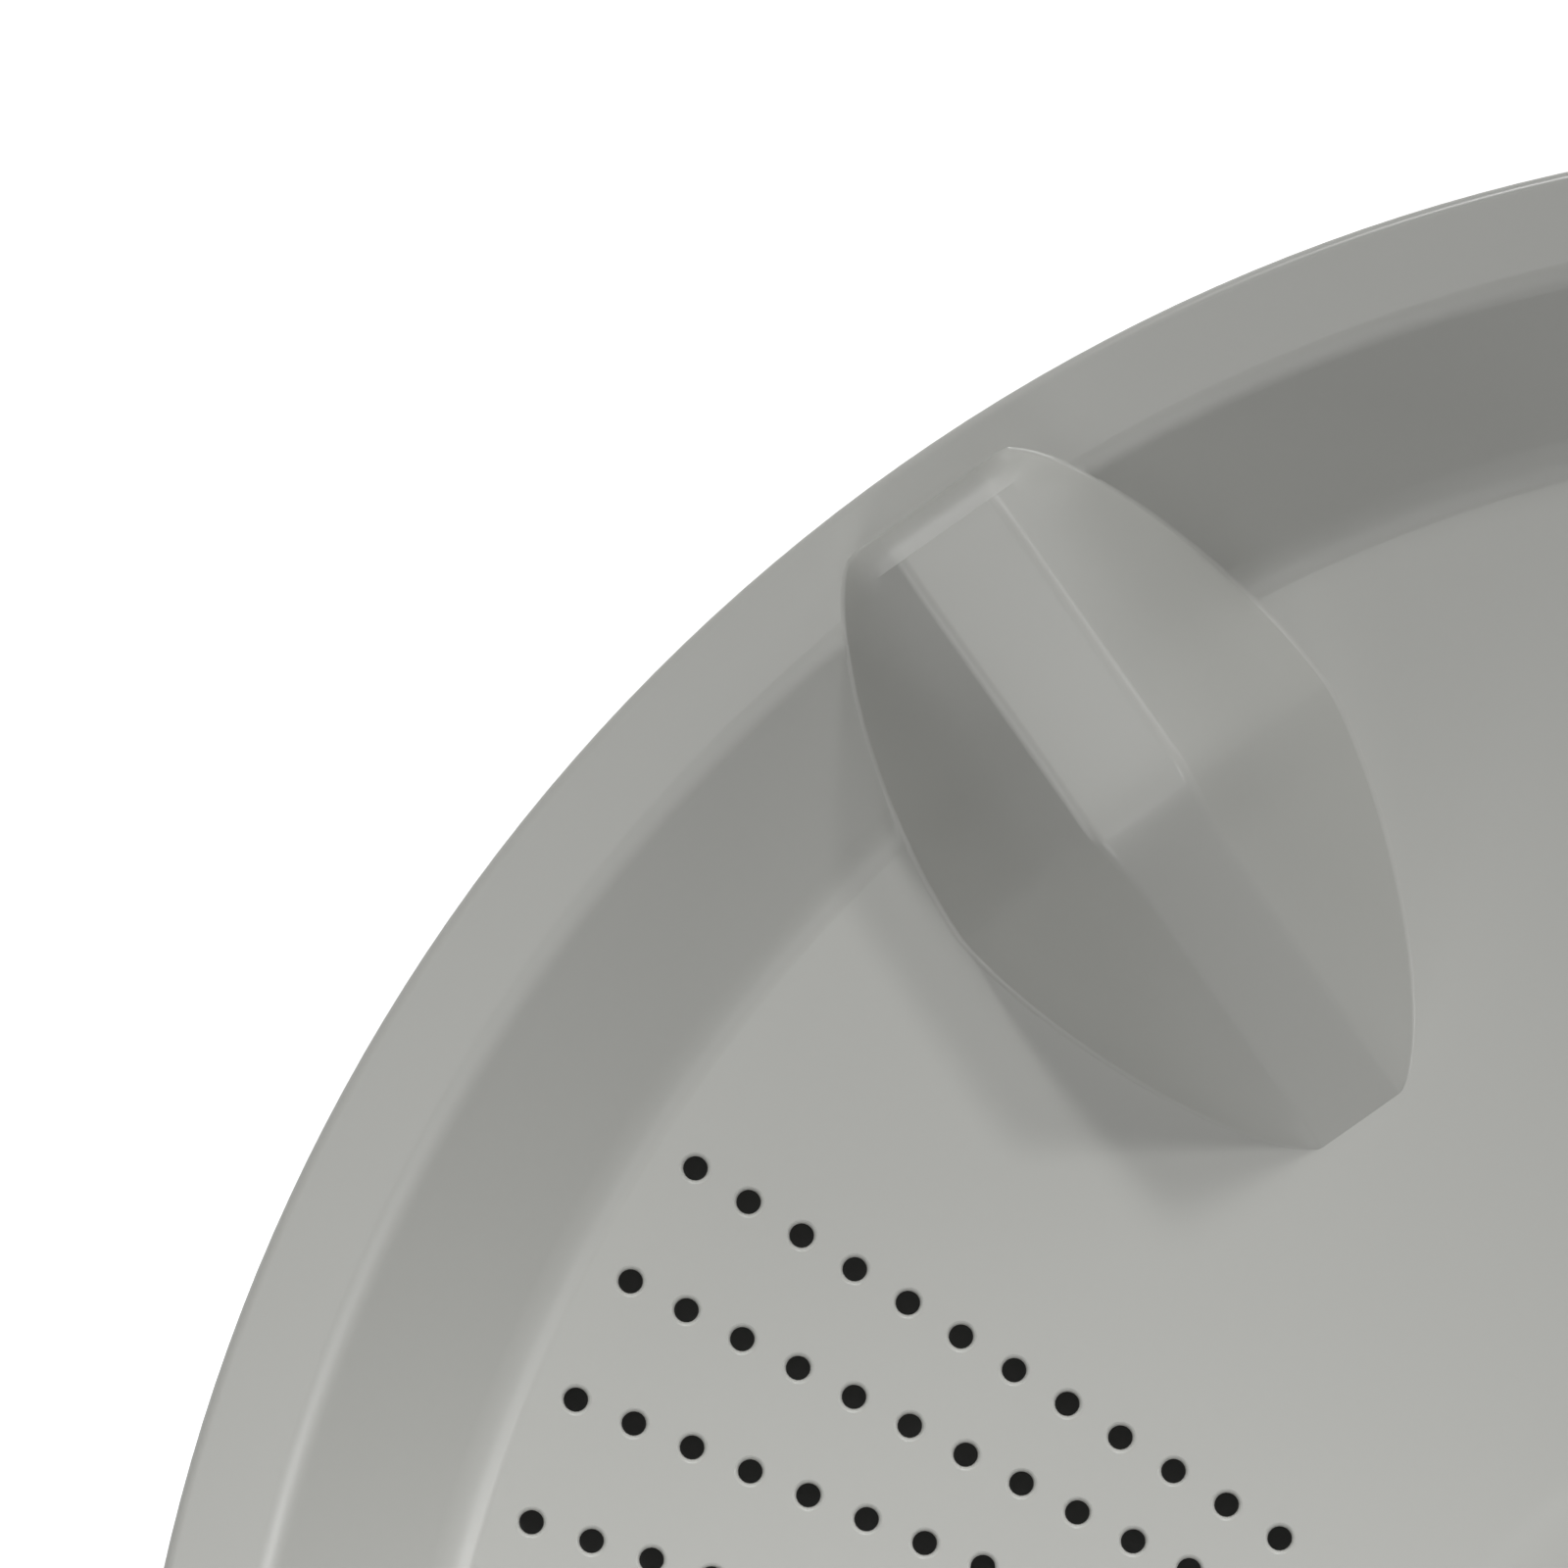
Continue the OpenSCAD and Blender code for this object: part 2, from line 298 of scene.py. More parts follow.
@dataclass
class Dish:
    """Revolved shell of hub, floor, sloping wall, rim band and skirt, in millimetres."""

    rim_r: float = 180.0
    rim_z: float = 26.0
    band_w: float = 10.0
    depth: float = 11.5
    slope_deg: float = 33.0
    toe_deg: float = 16.0
    toe_w: float = 2.6
    toe_edge: float = 2.5
    slope_fillet: float = 11.0
    band_edge: float = 5.0
    rim_edge: float = 1.0
    wall: float = 2.5
    hub_rise: float = 12.0
    hub_top_r: float = 25.0
    hub_foot_r: float = 57.0
    hub_edge: float = 8.0
    hub_fillet: float = 24.0
    under_edge: float = 0.4
    steps: int = 288
    arc: int = 8
    under_arc: int = 3

    @property
    def floor_z(self) -> float:
        """Height of the floor."""
        return self.rim_z - self.depth

    @property
    def hub_z(self) -> float:
        """Height of the hub's flat top."""
        return self.floor_z + self.hub_rise

    @property
    def band_r(self) -> float:
        """Radius at which the wall meets the rim band."""
        return self.rim_r - self.band_w

    @property
    def toe_rise(self) -> float:
        """Height of the toe with which the wall starts."""
        return self.toe_w * math.tan(math.radians(self.toe_deg))

    @property
    def slope_foot_r(self) -> float:
        """Radius at which the toe turns up into the wall."""
        return self.band_r - (self.depth - self.toe_rise) / math.tan(math.radians(self.slope_deg))

    @property
    def floor_r(self) -> float:
        """Radius at which the floor ends and the toe starts."""
        return self.slope_foot_r - self.toe_w

    @property
    def upper_path(self) -> list[Vector]:
        """Corners of the upper face from the axis out to the skirt's lower edge."""
        return [Vector(p) for p in (
            (0.0, self.hub_z), (self.hub_top_r, self.hub_z), (self.hub_foot_r, self.floor_z),
            (self.floor_r, self.floor_z), (self.slope_foot_r, self.floor_z + self.toe_rise),
            (self.band_r, self.rim_z), (self.rim_r, self.rim_z), (self.rim_r, 0.0),
        )]

    @property
    def upper_radii(self) -> list[float]:
        """Radii of the inner corners of the upper face."""
        return [
            self.hub_edge, self.hub_fillet, self.toe_edge,
            self.slope_fillet, self.band_edge, self.rim_edge,
        ]

    @property
    def lower_radii(self) -> list[float]:
        """Radii of the same corners on the under side."""
        thin = self.under_edge
        return [
            max(self.hub_edge - self.wall, thin), self.hub_fillet + self.wall,
            self.toe_edge + self.wall, self.slope_fillet + self.wall,
            max(self.band_edge - self.wall, thin), thin,
        ]

    @cached_property
    def face(self) -> list[Vector]:
        """Points along the upper face with its corners rounded."""
        path = self.upper_path
        corners = zip(path, path[1:], path[2:], self.upper_radii)
        return [p for a, b, c, radius in corners for p in arc_at(a, b, c, radius, 2 * self.arc)]

    def height(self, r: float) -> float:
        """Height of the upper face.

        Args:
            r: Distance from the axis, outside the hub's flat top.

        Returns:
            The height in millimetres.
        """
        a, b = next((a, b) for a, b in zip(self.face, self.face[1:]) if b.x >= r)
        return a.y + (b.y - a.y) * (r - a.x) / (b.x - a.x)

    def build(self) -> bpy.types.Object:
        """Builds the shell.

        Returns:
            The closed shell.
        """
        bm = bmesh.new()
        upper = wire(bm, self.upper_path)
        for vert, radius in zip(upper[1:-1], self.upper_radii):
            round_corner(bm, vert, radius, self.arc)
        lower = wire(bm, moved_right(self.upper_path, self.wall))
        for vert, radius in zip(lower[1:-1], self.lower_radii):
            round_corner(bm, vert, radius, self.arc)
        bm.edges.new((upper[-1], lower[-1]))
        for vert in (upper[-1], lower[-1]):
            round_corner(bm, vert, self.under_edge, self.under_arc)
        revolve(bm, self.steps)
        return solid("pulsator_moulding", bm)


@dataclass
class Fin:
    """Hollow leaf-shaped fin along +X, with a flat strip on its back, in millimetres."""

    dish: Dish
    count: int = FIN_COUNT
    tip_r: float = FIN_TIP_R
    knee_r: float = 138.5
    end_inset: float = 4.5
    width: float = 43.6
    strip_w: float = 11.2
    nose_strip_w: float = 9.2
    strip_taper: float = 8.0
    strip_crown: float = 0.2
    crest_h: float = 23.0
    crest_fall: float = 1.2
    end_deg: float = 76.0
    nose_power: float = 1.4
    crest_power: float = 1.7
    strip_edge: float = 2.0
    foot_fillet: float = 0.9
    flank_bow: float = 0.8
    bend: float = 1.6
    wall: float = 2.3
    web: float = 1.8
    chambers: int = 3
    chamber_edge: float = 0.6
    tip_solid: float = 4.0
    # How far past the end face the leaf outline would close
    overshoot: float = 2.0
    # How far the bodies reach into what they are joined to, and the least step between two points
    sink: float = 0.6
    fine: float = 0.01
    # Sections before the tip, inside the plate
    lead_in: tuple[float, ...] = (3.0, 1.5)
    nose_steps: int = 22
    crest_steps: int = 26
    chamber_steps: int = 8
    flank_steps: int = 8
    edge_steps: int = 6
    foot_steps: int = 5

    @property
    def end_r(self) -> float:
        """Distance from the axis to the foot of the outer end face."""
        return self.dish.rim_r - self.end_inset

    def strip_z(self, u: float) -> float:
        """Height of the strip.

        Args:
            u: Distance from the axis along the fin.

        Returns:
            The height in millimetres.
        """
        floor = self.dish.floor_z
        nose = floor + self.crest_h * (u - self.tip_r) / (self.knee_r - self.tip_r)
        crest = floor + self.crest_h - self.crest_fall * (u - self.knee_r) / (self.end_r - self.knee_r)
        end = self.dish.rim_z + (self.end_r - u) * math.tan(math.radians(self.end_deg))
        return soft_min(soft_min(nose, crest, self.bend), end, self.bend)

    def strip_half(self, u: float) -> float:
        """Half-width of the strip, which widens before the knee."""
        share = min(1.0, max(0.0, (self.knee_r + self.bend - u) / self.strip_taper))
        return (self.strip_w + (self.nose_strip_w - self.strip_w) * share) / 2

    def fullness(self, u: float) -> float:
        """Fullness of the leaf outline.

        Args:
            u: Distance from the axis along the fin.

        Returns:
            A value from 0 at either end to 1 at the knee.
        """
        nose = u < self.knee_r
        reach = self.knee_r - self.tip_r if nose else self.end_r + self.overshoot - self.knee_r
        power = self.nose_power if nose else self.crest_power
        share = min(1.0, abs(u - self.knee_r) / reach)
        return (1 - share ** power) ** (1 / power)

    def half_width(self, u: float) -> float:
        """Half-width of the leaf outline where the flanks meet the dish."""
        strip = self.strip_half(u)
        return strip + (self.width / 2 - strip) * self.fullness(u)

    def foot_z(self, u: float) -> float:
        """Height at which the flanks meet the dish at distance u along the fin."""
        return self.dish.height(math.hypot(u, self.half_width(u)))

    def half_section(self, u: float, t: float, depth: float, edge: float, foot: float) -> list[Vector]:
        """Half of the section at u, from the middle of the strip down past the dish's face.

        Args:
            u: Distance from the axis along the fin.
            t: Distance inside the outer surface.
            depth: How far the section ends below the dish's face.
            edge: Radius along the strip's edge.
            foot: Radius of the fillet at the foot, or 0 for none.

        Returns:
            Points with the offset from the middle as x and the height as y.
        """
        base = self.foot_z(u)
        top = max(min(self.strip_z(u), self.strip_z(u + t)), base - self.sink)
        full = self.fullness(u)
        half, fall = self.strip_half(u), self.strip_crown * full
        middle, halfway, brink = (Vector((half * x, top - fall * x * x)) for x in (0.0, 0.5, 1.0))
        toe = Vector((self.half_width(u) + self.fine, min(base, top - self.fine)))
        way = (toe - brink).normalized()
        bow = Vector((-way.y, way.x)) * self.flank_bow * full
        shares = [i / self.flank_steps for i in range(1, self.flank_steps)]
        # 4s(1 - s) is 1 halfway down the flank and 0 at its ends
        flank = [brink.lerp(toe, s) + bow * 4 * s * (1 - s) for s in shares]
        path = moved_right([middle, halfway, brink, *flank, toe + way * self.sink], t)
        # The arc takes the place of the strip's brink and of the flank's first point
        points = [*path[:2], *arc_at(path[1], path[2], path[4], edge, self.edge_steps), *path[4:-1]]
        if foot:
            along_dish = Vector((toe.x + 4 * foot, base))
            points += arc_at(path[-2], toe, along_dish, foot, self.foot_steps)
            points[-1] = points[-1] - Vector((0.0, self.fine))
        else:
            points.append(path[-1])
        points.append(Vector((points[-1].x, base - depth)))
        return points

    def ring(self, u: float, t: float, depth: float, edge: float, foot: float) -> list[Vector]:
        """Ring of points round the section at u, in the fin's own frame.

        Args:
            u: Distance from the axis along the fin.
            t: Distance inside the outer surface.
            depth: How far the section ends below the dish's face.
            edge: Radius along the strip's edge.
            foot: Radius of the fillet at the foot, or 0 for none.

        Returns:
            The points in order.
        """
        half = self.half_section(u, t, depth, edge, foot)
        left = [Vector((u, Side.LEFT.value * p.x, p.y)) for p in reversed(half[1:])]
        return left + [Vector((u, Side.RIGHT.value * p.x, p.y)) for p in half]

    def stations(self) -> list[float]:
        """Places the sections of the outer body.

        Returns:
            Distances from the axis, from before the tip to past the end face.
        """
        nose = spaced(self.tip_r, self.knee_r, self.nose_steps)
        crest = spaced(self.knee_r, self.end_r, self.crest_steps)
        return [*(self.tip_r - way for way in self.lead_in), *nose, *crest[1:], self.end_r + self.sink]

    def bodies(self) -> bpy.types.Object:
        """Builds the outer bodies of all fins, sunk into the plate of the dish.

        Returns:
            The bodies.
        """
        bm = bmesh.new()
        depth = self.dish.wall / 2
        loft(bm, [self.ring(u, 0.0, depth, self.strip_edge, self.foot_fillet) for u in self.stations()])
        repeat(bm, self.count)
        return solid("fin_bodies", bm)

    def hollows(self) -> bpy.types.Object:
        """Builds the chambers under all fins, open towards the under side.

        Returns:
            The cutter.
        """
        bm = bmesh.new()
        start = self.tip_r + self.tip_solid
        pitch = (self.end_r - self.wall + self.web - start) / self.chambers
        depth = self.dish.wall + self.sink
        for i in range(self.chambers):
            part = bmesh.new()
            a = start + i * pitch
            b = a + pitch - self.web
            places = [a + (b - a) * k / self.chamber_steps for k in range(self.chamber_steps + 1)]
            loft(part, [self.ring(u, self.wall, depth, self.chamber_edge, 0.0) for u in places])
            absorb(bm, part)
        repeat(bm, self.count)
        return solid("fin_hollows", bm)


@dataclass
class DrainHoles:
    """Rows of drain holes between the fins, in millimetres."""

    dish: Dish
    fins: int = FIN_COUNT
    radius: float = 1.2
    lip: float = 0.45
    lip_turns: tuple[float, ...] = (0.0, 28.0, 56.0, 80.0)
    pitch: float = 6.16
    outer_r: float = 146.4
    per_row: int = 12
    rows: int = 4
    row_step: float = 5.0
    # How far the cutters reach past the plate
    past: float = 1.0
    steps: int = 20

    def cutters(self) -> bpy.types.Object:
        """Builds one cutter for all holes, each with a rounded lip.

        Returns:
            The cutter.
        """
        top = self.dish.floor_z
        low = top - self.dish.wall - self.past
        hole = bmesh.new()
        lip = [
            (self.radius + self.lip * (1 - math.cos(a)), top - self.lip * (1 - math.sin(a)))
            for a in (math.radians(turn) for turn in self.lip_turns)
        ]
        high = top + self.past
        wire(hole, [(0.0, low), (self.radius, low), *lip, (lip[-1][0], high), (0.0, high)])
        revolve(hole, self.steps)
        passing = bpy.data.meshes.new("hole")
        hole.to_mesh(passing)
        hole.free()
        bm = bmesh.new()
        for row in range(self.rows):
            turn = math.radians(180 / self.fins + (row - (self.rows - 1) / 2) * self.row_step)
            for i in range(self.per_row):
                bm.from_mesh(passing)
                new = bm.verts[-len(passing.vertices):]
                bmesh.ops.translate(bm, verts=new, vec=(self.outer_r - i * self.pitch, 0, 0))
                bmesh.ops.rotate(bm, verts=new, cent=(0, 0, 0), matrix=Matrix.Rotation(turn, 3, "Z"))
        bpy.data.meshes.remove(passing)
        repeat(bm, self.fins)
        return solid("drain_holes", bm)


@dataclass
class Underside:
    """Ribs, boss and serrated drive socket under the dish, in millimetres."""

    dish: Dish
    fins: int = FIN_COUNT
    tip_r: float = FIN_TIP_R
    rib_depth: float = 5.0
    rib_t: float = 2.0
    between: int = 3
    rib_step: float = 15.0
    rings: tuple[float, ...] = (70.0, 112.52)
    boss_r: float = 16.0
    boss_clear: float = 1.0
    boss_edge: float = 0.6
    boss_arc: int = 4
    root: float = 2.0
    recess_r: float = 12.0
    recess_depth: float = 6.0
    screw_r: float = 3.25
    seat_t: float = 4.0
    teeth: int = 18
    tooth_r: float = 6.0
    tooth_depth: float = 1.0
    tooth_land: float = 0.5
    pilot_r: float = 7.5
    pilot_len: float = 6.0
    chamfer: float = 0.5
    # How far the socket's cutter reaches into the pilot bore, and the bores' cutter past the part
    overlap: float = 0.5
    past: float = 1.0
    steps: int = 96

    @property
    def level(self) -> float:
        """Height of the ribs' lower edges."""
        return self.dish.floor_z - self.dish.wall - self.rib_depth

    def radial_ribs(self, start: float, end: float, first: float) -> bpy.types.Object:
        """Builds one radial rib for each fin, which follows the plate above.

        Args:
            start: Distance from the axis at which the ribs start.
            end: Distance at which they end.
            first: Angle of the first rib in degrees.

        Returns:
            The ribs.
        """
        dish = self.dish
        plate = moved_right(dish.upper_path, dish.wall / 2)
        last = dish.rim_z if end > dish.band_r else dish.floor_z
        outline = [
            (start, self.level), (start, dish.hub_z - dish.wall / 2),
            *[p for p in plate if start < p.x < end and p.y > self.level],
            (end, last - dish.wall / 2), (end, self.level),
        ]
        bm = bmesh.new()
        side = bm.faces.new(wire(bm, outline, closed=True))
        pull(bm, side, (0, self.rib_t, 0))
        bmesh.ops.translate(bm, verts=bm.verts[:], vec=(0, -self.rib_t / 2, 0))
        repeat(bm, self.fins, first)
        return solid("radial_ribs", bm)

    def ring_rib(self, r: float) -> bpy.types.Object:
        """Builds a ring rib.

        Args:
            r: Distance of its middle from the axis.

        Returns:
            The rib.
        """
        top = self.dish.floor_z - self.dish.wall / 2
        bm = bmesh.new()
        wire(bm, [(r - self.rib_t / 2, self.level), (r + self.rib_t / 2, self.level),
                  (r + self.rib_t / 2, top), (r - self.rib_t / 2, top)], closed=True)
        revolve(bm, self.dish.steps)
        return solid("ring_rib", bm)

    def boss(self) -> bpy.types.Object:
        """Builds the boss round the drive socket, with a rounded lower edge.

        Returns:
            The boss, still without its bores.
        """
        top = self.dish.hub_z - self.dish.wall / 2
        bm = bmesh.new()
        low = self.boss_clear
        path = wire(bm, [(0.0, low), (self.boss_r, low), (self.boss_r, top), (0.0, top)])
        round_corner(bm, path[1], self.boss_edge, self.boss_arc)
        revolve(bm, self.steps)
        return solid("boss", bm)

    def bore(self) -> bpy.types.Object:
        """Builds the cutter of pilot bore, screw hole and recess, with a chamfered mouth at either end.

        Returns:
            The cutter.
        """
        hub_z = self.dish.hub_z
        seat = hub_z - self.recess_depth
        pilot_top = self.boss_clear + self.pilot_len
        low, high = -self.past, hub_z + self.past
        pilot_mouth, recess_mouth = self.pilot_r + self.chamfer, self.recess_r + self.chamfer
        bm = bmesh.new()
        wire(bm, [
            (0.0, low), (pilot_mouth, low), (pilot_mouth, self.boss_clear),
            (self.pilot_r, self.boss_clear + self.chamfer), (self.pilot_r, pilot_top),
            (self.screw_r, pilot_top), (self.screw_r, seat), (self.recess_r, seat),
            (self.recess_r, hub_z - self.chamfer), (recess_mouth, hub_z), (recess_mouth, high),
            (0.0, high),
        ])
        revolve(bm, self.steps)
        return solid("bore", bm)

    def serrations(self) -> bpy.types.Object:
        """Builds the cutter of the serrated socket.

        Returns:
            The cutter.
        """
        low = self.boss_clear + self.pilot_len - self.overlap
        high = self.dish.hub_z - self.recess_depth - self.seat_t
        pitch = FULL_TURN / self.teeth
        half_land = self.tooth_land / 2 / self.tooth_r
        bm = bmesh.new()
        tooth = ((-pitch / 2 - half_land, self.tooth_r), (-pitch / 2 + half_land, self.tooth_r),
                 (0.0, self.tooth_r + self.tooth_depth))
        ring = [
            bm.verts.new((r * math.cos(i * pitch + a), r * math.sin(i * pitch + a), low))
            for i in range(self.teeth) for a, r in tooth
        ]
        pull(bm, bm.faces.new(ring), (0, 0, high - low))
        return solid("serrations", bm)

    def add_to(self, base: bpy.types.Object) -> None:
        """Joins ribs and boss to the dish and cuts the socket.

        Args:
            base: The shell with its fins.
        """
        start = self.boss_r - self.root
        carve(base, self.radial_ribs(start, self.tip_r + self.rib_t, 0.0), Carve.JOIN)
        for i in range(self.between):
            angle = 180 / self.fins + (i - (self.between - 1) / 2) * self.rib_step
            end = self.dish.rim_r - self.dish.wall / 2
            carve(base, self.radial_ribs(start, end, angle), Carve.JOIN)
        for r in self.rings:
            carve(base, self.ring_rib(r), Carve.JOIN)
        carve(base, self.boss(), Carve.JOIN)
        carve(base, self.bore(), Carve.CUT)
        carve(base, self.serrations(), Carve.CUT)


# Finishes


class Shader:
    """Builds the nodes of one material or of the world."""

    def __init__(self, tree: bpy.types.NodeTree) -> None:
        """Empties the tree.

        Args:
            tree: The node tree to fill.
        """
        self.tree = tree
        tree.nodes.clear()

    def node(
        self, kind: str, settings: dict[str, object] | None = None, **sockets: object
    ) -> bpy.types.Node:
        """Adds a node.

        Args:
            kind: The node's type.
            settings: Properties of the node, set before its sockets.
            **sockets: Values or links of its inputs. Each has its name with _ for a blank, or in and a
                number.

        Returns:
            The new node.
        """
        made = self.tree.nodes.new(kind)
        for key, value in (settings or {}).items():
            setattr(made, key, value)
        for key, value in sockets.items():
            place = int(key[2:]) if key[:2] == "in" and key[2:].isdigit() else key.replace("_", " ")
            if isinstance(value, Socket):
                self.tree.links.new(value.out, made.inputs[place])
            else:
                made.inputs[place].default_value = value
        return made

    def read(
        self, kind: str, out: str | int = 0, settings: dict[str, object] | None = None,
        **sockets: object,
    ) -> "Socket":
        """Adds a node and takes one of its outputs.

        Args:
            kind: The node's type.
            out: Name or number of the output.
            settings: Properties of the node.
            **sockets: Values or links of its inputs.

        Returns:
            The output.
        """
        return Socket(self, self.node(kind, settings, **sockets).outputs[out])

    def blend(self, share: "Socket", a: tuple[float, ...], b: tuple[float, ...]) -> "Socket":
        """Adds a Mix node for two colours.

        Args:
            share: How much of the second colour there is.
            a: The first colour.
            b: The second colour.

        Returns:
            The mixed colour, from the node's colour output.
        """
        mix = self.node("ShaderNodeMix", {"data_type": "RGBA"}, Factor=share, in6=a, in7=b)
        return Socket(self, mix.outputs["Result"])


class Socket:
    """An output of a node that takes part in sums."""

    def __init__(self, shader: Shader, out: bpy.types.NodeSocket) -> None:
        """Wraps an output.

        Args:
            shader: The builder of the tree.
            out: The output.
        """
        self.shader = shader
        self.out = out

    def _sum(self, operation: str, a: object, b: object) -> "Socket":
        """Adds a Math node for a and b."""
        return self.shader.read("ShaderNodeMath", settings={"operation": operation}, in0=a, in1=b)

    def __add__(self, other: object) -> "Socket":
        """self + other."""
        return self._sum("ADD", self, other)

    def __radd__(self, other: object) -> "Socket":
        """other + self."""
        return self._sum("ADD", other, self)

    def __sub__(self, other: object) -> "Socket":
        """self - other."""
        return self._sum("SUBTRACT", self, other)

    def __rsub__(self, other: object) -> "Socket":
        """other - self."""
        return self._sum("SUBTRACT", other, self)

    def __mul__(self, other: object) -> "Socket":
        """self * other."""
        return self._sum("MULTIPLY", self, other)

    def __rmul__(self, other: object) -> "Socket":
        """other * self."""
        return self._sum("MULTIPLY", other, self)

    def __gt__(self, other: object) -> "Socket":
        """1 where self is greater than other, and else 0."""
        return self._sum("GREATER_THAN", self, other)

    def highest(self, other: object) -> "Socket":
        """The greater of self and other."""
        return self._sum("MAXIMUM", self, other)


def backdrop_seen(s: Shader) -> Socket:
    """Finds the rays to which the backdrop shows.

    Args:
        s: The builder of the tree.

    Returns:
        1 where the backdrop is seen directly, in gloss or through the part, and else 0.
    """
    path = s.node("ShaderNodeLightPath")
    kinds = ("Is Camera Ray", "Is Glossy Ray", "Is Transmission Ray")
    camera, glossy, through = (Socket(s, path.outputs[name]) for name in kinds)
    return camera.highest(glossy).highest(through)


@dataclass(frozen=True)
class SatinPlastic:
    """Light grey moulded plastic with a fine spark-eroded grain."""

    colour: tuple[float, float, float] = (0.417, 0.419, 0.396)
    roughness: float = 0.32
    ior: float = 1.49
    mottle: float = 0.03
    cloud_scale: float = 14.0
    cloud_share: float = 0.75
    cloud_gloss: float = 0.06
    speck_scale: float = 900.0
    speck_gloss: float = 0.10
    grain_scale: float = 2600.0
    grain_strength: float = 0.12
    grain_height: float = 0.00003

    def material(self) -> bpy.types.Material:
        """Builds the material.

        Returns:
            The material.
        """
        mat = bpy.data.materials.new("satin_grey_plastic")
        mat.use_nodes = True
        s = Shader(mat.node_tree)
        place = s.read("ShaderNodeTexCoord", "Object")
        cloud, speck, grain = (
            s.read("ShaderNodeTexNoise", "Fac", Vector=place, Scale=scale, Detail=detail, Roughness=rough)
            for scale, detail, rough in (
                (self.cloud_scale, 3.0, 0.5), (self.speck_scale, 2.0, 0.6), (self.grain_scale, 2.0, 0.5),
            )
        )
        light = tuple(c * (1 + self.mottle) for c in self.colour) + (1.0,)
        dark = tuple(c * (1 - self.mottle) for c in self.colour) + (1.0,)
        tone = s.blend(cloud * self.cloud_share + speck * (1 - self.cloud_share), dark, light)
        bump = s.read(
            "ShaderNodeBump", "Normal", Strength=self.grain_strength, Distance=self.grain_height,
            Height=grain,
        )
        shell = s.node(
            "ShaderNodeBsdfPrincipled", Base_Color=tone, Normal=bump, IOR=self.ior,
            Roughness=self.roughness + (speck - 0.5) * self.speck_gloss + (cloud - 0.5) * self.cloud_gloss,
        )
        end = s.node("ShaderNodeOutputMaterial")
        s.tree.links.new(shell.outputs[0], end.inputs["Surface"])
        return mat


@dataclass(frozen=True)
class PaleFloor:
    """Plain pale paint, which is clear from below and to the light from below.

    It is painted dark under the part, a painted shade that shows only through the drain holes.
    """

    part_r: float = 0.177
    # Grey of the floor under the part: painted shade, seen through the drain holes
    painted_shade_under_part: float = 0.12
    pale: float = 0.55
    glow: float = 0.8
    roughness: float = 0.9

    def material(self) -> bpy.types.Material:
        """Builds the material.

        Returns:
            The material.
        """
        mat = bpy.data.materials.new("pale_floor")
        mat.use_nodes = True
        s = Shader(mat.node_tree)
        place = s.read("ShaderNodeTexCoord", "Object")
        reach = s.read("ShaderNodeVectorMath", "Value", {"operation": "LENGTH"}, in0=place)
        outside = reach > self.part_r
        # dark is the painted shade under the part; the pale paint lies outside it
        black, dark, pale, white = (
            (tone, tone, tone, 1.0) for tone in (0.0, self.painted_shade_under_part, self.pale, 1.0)
        )
        face = s.node(
            "ShaderNodeBsdfPrincipled", Base_Color=s.blend(outside, dark, pale), Roughness=self.roughness,
            Emission_Color=s.blend(backdrop_seen(s) * outside * self.glow, black, white),
            Emission_Strength=1.0,
        )
        clear = s.node("ShaderNodeBsdfTransparent")
        shadow = s.read("ShaderNodeLightPath", "Is Shadow Ray")
        open_side = s.read("ShaderNodeNewGeometry", "Backfacing").highest(shadow)
        mix = s.node("ShaderNodeMixShader", Fac=open_side)
        end = s.node("ShaderNodeOutputMaterial")
        s.tree.links.new(face.outputs[0], mix.inputs[1])
        s.tree.links.new(clear.outputs[0], mix.inputs[2])
        s.tree.links.new(mix.outputs[0], end.inputs["Surface"])
        return mat


@dataclass
class Moulding:
    """The whole part, put together from its sub-assemblies."""

    dish: Dish
    fin: Fin
    holes: DrainHoles
    under: Underside
    finish: SatinPlastic
    smooth_deg: float = 24.0

    def build(self) -> bpy.types.Object:
        """Builds and dresses the moulding, and puts it in the place of the solid.

        Returns:
            The finished piece.
        """
        base = self.dish.build()
        carve(base, self.fin.bodies(), Carve.JOIN)
        carve(base, self.fin.hollows(), Carve.CUT)
        self.under.add_to(base)
        carve(base, self.holes.cutters(), Carve.CUT)
        self._finish(base)
        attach(base, "root")
        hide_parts("pulsator")
        return base

    def _finish(self, piece: bpy.types.Object) -> None:
        """Brings the piece to metres, shades it smooth and gives it its finish.

        Args:
            piece: The moulding in millimetres.
        """
        bm = bmesh.new()
        bm.from_mesh(piece.data)
        bmesh.ops.dissolve_degenerate(bm, dist=SAME_CORNER, edges=bm.edges[:])
        bmesh.ops.remove_doubles(bm, verts=bm.verts[:], dist=SAME_CORNER)
        bmesh.ops.scale(bm, vec=(MM, MM, MM), verts=bm.verts[:])
        bm.to_mesh(piece.data)
        bm.free()
        piece.data.shade_smooth()
        piece.data.set_sharp_from_angle(angle=math.radians(self.smooth_deg))
        even = piece.modifiers.new("even_shading", "WEIGHTED_NORMAL")
        even.keep_sharp = True
        piece.data.materials.clear()
        piece.data.materials.append(self.finish.material())


# Studio

# Softness of a crisp lamp and of a soft one, in degrees
CRISP = 5.0
SOFT = 18.0


class Throw(Enum):
    """How a lamp's light spreads over the floor."""

    EVEN = "SUN"
    AIMED = "SPOT"


@dataclass(frozen=True)
class Lamp:
    """A studio lamp. Its azimuth is counted in the picture, from its right-hand side upwards.

    A strength of 1 on a face that is turned to the lamp shows a colour about as it is written.
    """

    name: str
    azimuth: float
    elevation: float
    strength: float
    softness: float = SOFT
    throw: Throw = Throw.EVEN


